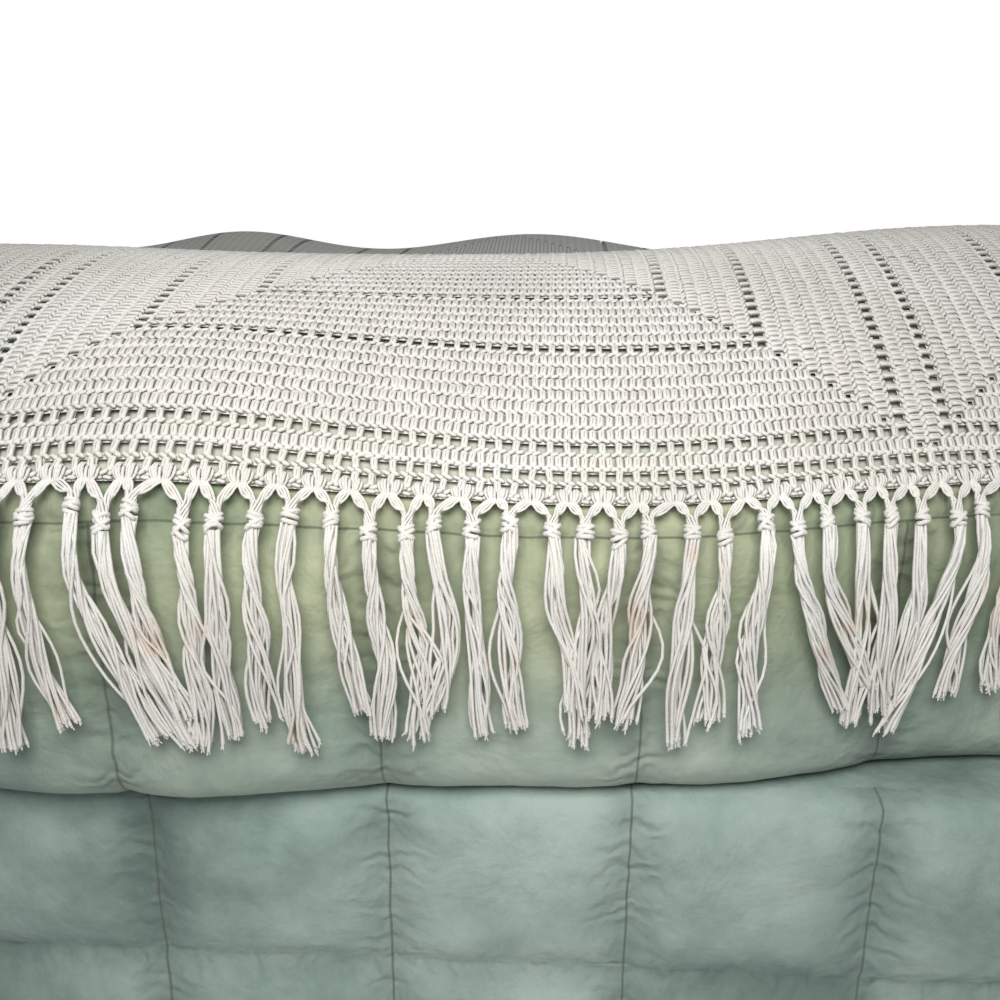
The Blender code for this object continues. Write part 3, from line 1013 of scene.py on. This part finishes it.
def mattress_skin(mat):
    """The mattress with its quilted sage cover, lying where its node lies."""
    column_count, end_rings = 230, 7
    v, tuck = mattress_loop()
    loop_count = len(v)
    flat_half = BED_LENGTH / 2 - END_EDGE
    columns = [(u, 0.0, 0.0) for u in np.linspace(-flat_half, flat_half, column_count)]
    rounding = [math.radians(step) for step in (15, 30, 45, 60, 75, 90)]
    ends = [(flat_half + END_EDGE * math.sin(a), END_EDGE * (1 - math.cos(a)), 0.0) for a in rounding]
    ends += [(BED_LENGTH / 2, END_EDGE, (ring + 1) / (end_rings + 1)) for ring in range(end_rings)]
    columns = [(-u, inset, shrink) for u, inset, shrink in reversed(ends)] + columns + ends
    bm = bmesh.new()
    bmesh.ops.create_grid(bm, x_segments=len(columns) - 1, y_segments=loop_count, size=0.5)
    for vert in bm.verts:
        column = round((vert.co.x + 0.5) * (len(columns) - 1))
        row = round((vert.co.y + 0.5) * loop_count) % loop_count
        vert.co = (column, row, 0)
    u, inset, shrink = (np.array(values) for values in zip(*columns))
    column = np.array([round(vert.co.x) for vert in bm.verts])
    row = np.array([round(vert.co.y) for vert in bm.verts])
    place_u, place_v = u[column], v[row]
    below = np.abs(place_v) - HEM
    along = place_u * np.sign(place_v) + SEAM_SHIFT
    on_side = ease(below, -0.01, 0.03)
    bare = drape(place_u, place_v, -inset[column])
    lift = -inset[column] + on_side * (quilted(along, below, (SEAM_BELOW,), PUFF, bare) - PUFF)
    placed = drape(place_u, place_v, lift)
    placed[:, 1] -= np.sign(placed[:, 1]) * tuck[row]
    middle_height = (CREST + BASE_HEIGHT) / 2
    part = shrink[column]
    placed[:, 1] *= 1 - part
    placed[:, 2] = middle_height + (placed[:, 2] - middle_height) * (1 - part)
    placed[:, 2] = np.maximum(placed[:, 2], BASE_HEIGHT + SEAM)
    for vert, place in zip(bm.verts, placed):
        vert.co = place
    uncovered = np.abs(place_u) > END
    down = below - SEAM_BELOW
    keep_seam_uv(bm, np.stack([along, np.where(uncovered, np.maximum(down, UNDER_CLOTH / 2), down)], -1))
    bmesh.ops.remove_doubles(bm, verts=bm.verts[:], dist=1e-6)
    close_ends(bm)
    if bm.calc_volume(signed=True) < 0:
        bmesh.ops.reverse_faces(bm, faces=bm.faces[:])
    obj = finish_piece(link_mesh("mattress_cover", bm), mat, ["mattress"])
    return obj


def base_outline(half_long, half_wide, corner, spacing):
    """Places, outward directions and lengths round the base from its front's middle, corners rounded."""
    places = []
    sides = ((1, -1), (1, 1), (-1, 1), (-1, -1))
    for quarter, (x, y) in enumerate(sides):
        centre = np.array((x * (half_long - corner), y * (half_wide - corner)))
        for step in range(6):
            angle = (quarter - 1) * math.pi / 2 + step * math.pi / 10
            away = np.array((math.cos(angle), math.sin(angle)))
            places.append((centre + corner * away, away))
        x, y = sides[(quarter + 1) % 4]
        goal = np.array((x * (half_long - corner), y * (half_wide - corner)))
        count = int(np.linalg.norm(goal - centre) / spacing)
        for step in range(1, count):
            places.append((centre + corner * away + (goal - centre) * step / count, away))
    points = np.array([place for place, _ in places])
    steps = np.linalg.norm(np.roll(points, -1, 0) - points, axis=1)
    length = np.concatenate([[0], np.cumsum(steps)[:-1]]) + half_long - corner
    return points, np.array([away for _, away in places]), length, steps.sum()


def base_skin(mat):
    """The base in the same quilted cloth, full between its seams."""
    low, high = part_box("bed_base")
    points, directions, lengths, perimeter = base_outline(high[0], high[1], 0.03, 0.008)
    lengths = lengths * round(perimeter / SEAM_PITCH) * SEAM_PITCH / perimeter
    level_rows = np.linspace(low[2], high[2] - 0.012, 23)
    heights = np.concatenate([level_rows, high[2] - np.array((0.005, 0.0012, 0.0))])
    drawn_in = np.concatenate([np.zeros(len(level_rows)), (0.0010, 0.0060, 0.0160)])
    bm = bmesh.new()
    bmesh.ops.create_grid(bm, x_segments=len(points), y_segments=len(heights) - 1, size=0.5)
    row = np.array([round((vert.co.y + 0.5) * (len(heights) - 1)) for vert in bm.verts])
    number = np.array([round((vert.co.x + 0.5) * len(points)) for vert in bm.verts])
    column = number % len(points)
    along = lengths[column] + SEAM_SHIFT
    height = heights[row]
    places = np.column_stack([points[column], height])
    out = quilted(along, high[2] - height + 1e-4, (0.0, high[2] - LOWER_SEAM), BASE_PUFF, places)
    out = out - drawn_in[row]
    places[:, :2] += directions[column] * out[:, None]
    for vert, place in zip(bm.verts, places):
        vert.co = place
    wrapped = np.where(number == len(points), round(perimeter / SEAM_PITCH) * SEAM_PITCH, 0.0)
    keep_seam_uv(bm, np.stack([along + wrapped, np.abs(height - LOWER_SEAM) + 1e-5], -1))
    bmesh.ops.remove_doubles(bm, verts=bm.verts[:], dist=1e-6)
    close_ends(bm)
    return finish_piece(link_mesh("base_cover", bm), mat, ["bed_base"])


# The room

def make_floor():
    bm = bmesh.new()
    bmesh.ops.create_grid(bm, x_segments=1, y_segments=1, size=8)
    obj = link_mesh("floor", bm)
    mat, nodes, links, shader = new_material("pale_floor")
    shader.inputs["Base Color"].default_value = (0.86, 0.86, 0.86, 1)
    shader.inputs["Roughness"].default_value = 0.9
    obj.data.materials.append(mat)
    obj.location.z = -0.0005


def area_light(name, place, target, size, power, colour=(1, 1, 1)):
    light = bpy.data.lights.new(name, "AREA")
    light.shape = "RECTANGLE"
    light.size, light.size_y = size
    light.energy = power
    light.color = colour
    obj = bpy.data.objects.new(name, light)
    bpy.context.scene.collection.objects.link(obj)
    obj.location = place
    aim(obj, target)
    return obj


def aim(obj, target):
    obj.rotation_euler = (Vector(target) - Vector(obj.location)).to_track_quat("-Z", "Y").to_euler()


CAMERA_PLACE = (0.057, -1.1328, 0.5493)
CAMERA_YAW = math.radians(-2.53)
CAMERA_PITCH = math.radians(17.35)
CAMERA_ROLL = math.radians(0.48)
CAMERA_LENS = 34.2
ROOM_LIGHT = (0.20, 0.213, 0.222)
WINDOW_PLACE = (0.03, -1.25, 0.98)
WINDOW_TARGET = (0.05, -0.55, 0.40)
WINDOW_SIZE = (0.60, 0.45)
WINDOW_POWER = 4.9
WINDOW_COLOUR = (1.0, 0.99, 0.975)
WINDOW_SPREAD = math.radians(120)


def make_camera():
    data = bpy.data.cameras.new("camera")
    data.sensor_width = 36
    data.sensor_fit = "HORIZONTAL"
    data.lens = CAMERA_LENS
    data.clip_start = 0.01
    obj = bpy.data.objects.new("camera", data)
    bpy.context.scene.collection.objects.link(obj)
    obj.location = CAMERA_PLACE
    obj.rotation_mode = "XYZ"
    look = Euler((math.pi / 2 - CAMERA_PITCH, 0, -CAMERA_YAW), "XYZ").to_matrix()
    roll = Euler((0, 0, CAMERA_ROLL), "XYZ").to_matrix()
    obj.rotation_euler = (look @ roll).to_euler()
    bpy.context.scene.camera = obj


def make_light():
    """A soft window light over the viewer's left shoulder, a dim room and a white far wall."""
    bpy.context.scene.view_settings.view_transform = "Standard"
    world = bpy.data.worlds.new("studio")
    world.use_nodes = True
    nodes, links = world.node_tree.nodes, world.node_tree.links
    split = nodes.new("ShaderNodeSeparateXYZ")
    links.new(add(nodes, "ShaderNodeTexCoord").outputs["Generated"], split.inputs[0])
    far = between(nodes, links, split.outputs["Y"], 0.70, 0.80)
    above_floor = between(nodes, links, split.outputs["Z"], -0.12, -0.06)
    below_top = between(nodes, links, split.outputs["Z"], 0.34, 0.24)
    band = math_node(nodes, links, "MULTIPLY", above_floor, below_top)
    wall = math_node(nodes, links, "MULTIPLY", far, band)
    room = mix(nodes, links, wall, ROOM_LIGHT, (1.0, 1.0, 1.0))
    links.new(room, nodes["Background"].inputs["Color"])
    nodes["Background"].inputs["Strength"].default_value = 1.0
    bpy.context.scene.world = world
    window = area_light("window", WINDOW_PLACE, WINDOW_TARGET, WINDOW_SIZE, WINDOW_POWER, WINDOW_COLOUR)
    window.data.spread = WINDOW_SPREAD


def main():
    yarn = yarn_material("cream_yarn", 0.0)
    stained = yarn_material("stained_yarn", 0.5)
    tuft = yarn_material("frayed_yarn", 0.0)
    cloth = sheet_material()
    posts = post_material(yarn)
    sage = sage_material("sage_cotton", SAGE_LIGHT, SAGE, SAGE_DARK, 5.0)
    sage_base = sage_material("sage_base_cloth", SAGE_BASE_LIGHT, SAGE_BASE, SAGE_BASE_DARK, 6.0)
    make_camera()
    post = bead(POST_WIDTH, POST_HEIGHT, POST_DEPTH, 6, 4, POST_WAIST)
    loop = bead(LOOP_WIDTH, LOOP_LENGTH, LOOP_DEPTH, 4, 3)
    names = ("left", "middle", "right")
    for column, place in enumerate(names):
        centre_u = (column - 1) * SQUARE
        square_sheet(f"crochet_front_{place}", f"square_front_{place}", centre_u, SQUARE / 2, cloth)
        rows = square_posts(centre_u, SQUARE / 2)
        if rows:
            copies(f"posts_front_{place}", post, np.concatenate(rows), posts)
            loops = square_loops(centre_u, SQUARE / 2)
            copies(f"loops_front_{place}", loop, np.concatenate(loops), yarn)
        square_sheet(f"crochet_back_{place}", f"square_back_{place}", centre_u, -SQUARE / 2, cloth)
    steps = np.arange(-87, 88) * ROUND
    beyond = (HALF_LENGTH + ROUND, HALF_LENGTH + 2 * ROUND, END)
    us = [-place for place in reversed(beyond)] + list(steps) + list(beyond)
    vs = [SQUARE + SEAM, SQUARE + ROUND, SQUARE + 2 * ROUND, HEM]
    edging_sheet("edging_front_cloth", "edging_front", us, vs, cloth)
    edging_sheet("edging_back_cloth", "edging_back", us, [-place for place in reversed(vs)], cloth)
    steps = list(np.arange(-58, 59) * ROUND)
    outer = [HALF_LENGTH + SEAM, HALF_LENGTH + ROUND, HALF_LENGTH + 2 * ROUND, END]
    edging_sheet("edging_right_cloth", "edging_right", outer, steps, cloth)
    edging_sheet("edging_left_cloth", "edging_left", [-place for place in reversed(outer)], steps, cloth)
    copies("edging_posts", post, np.concatenate(edging_posts()), posts)
    copies("edging_loops", loop, np.concatenate(edging_loops()), yarn)
    make_fringe("fringe_front_yarn", "fringe_front", True, (yarn, stained, tuft))
    make_fringe("fringe_back_yarn", "fringe_back", False, (yarn, stained, tuft))
    mattress_skin(sage)
    base_skin(sage_base)
    make_floor()
    make_light()


main()
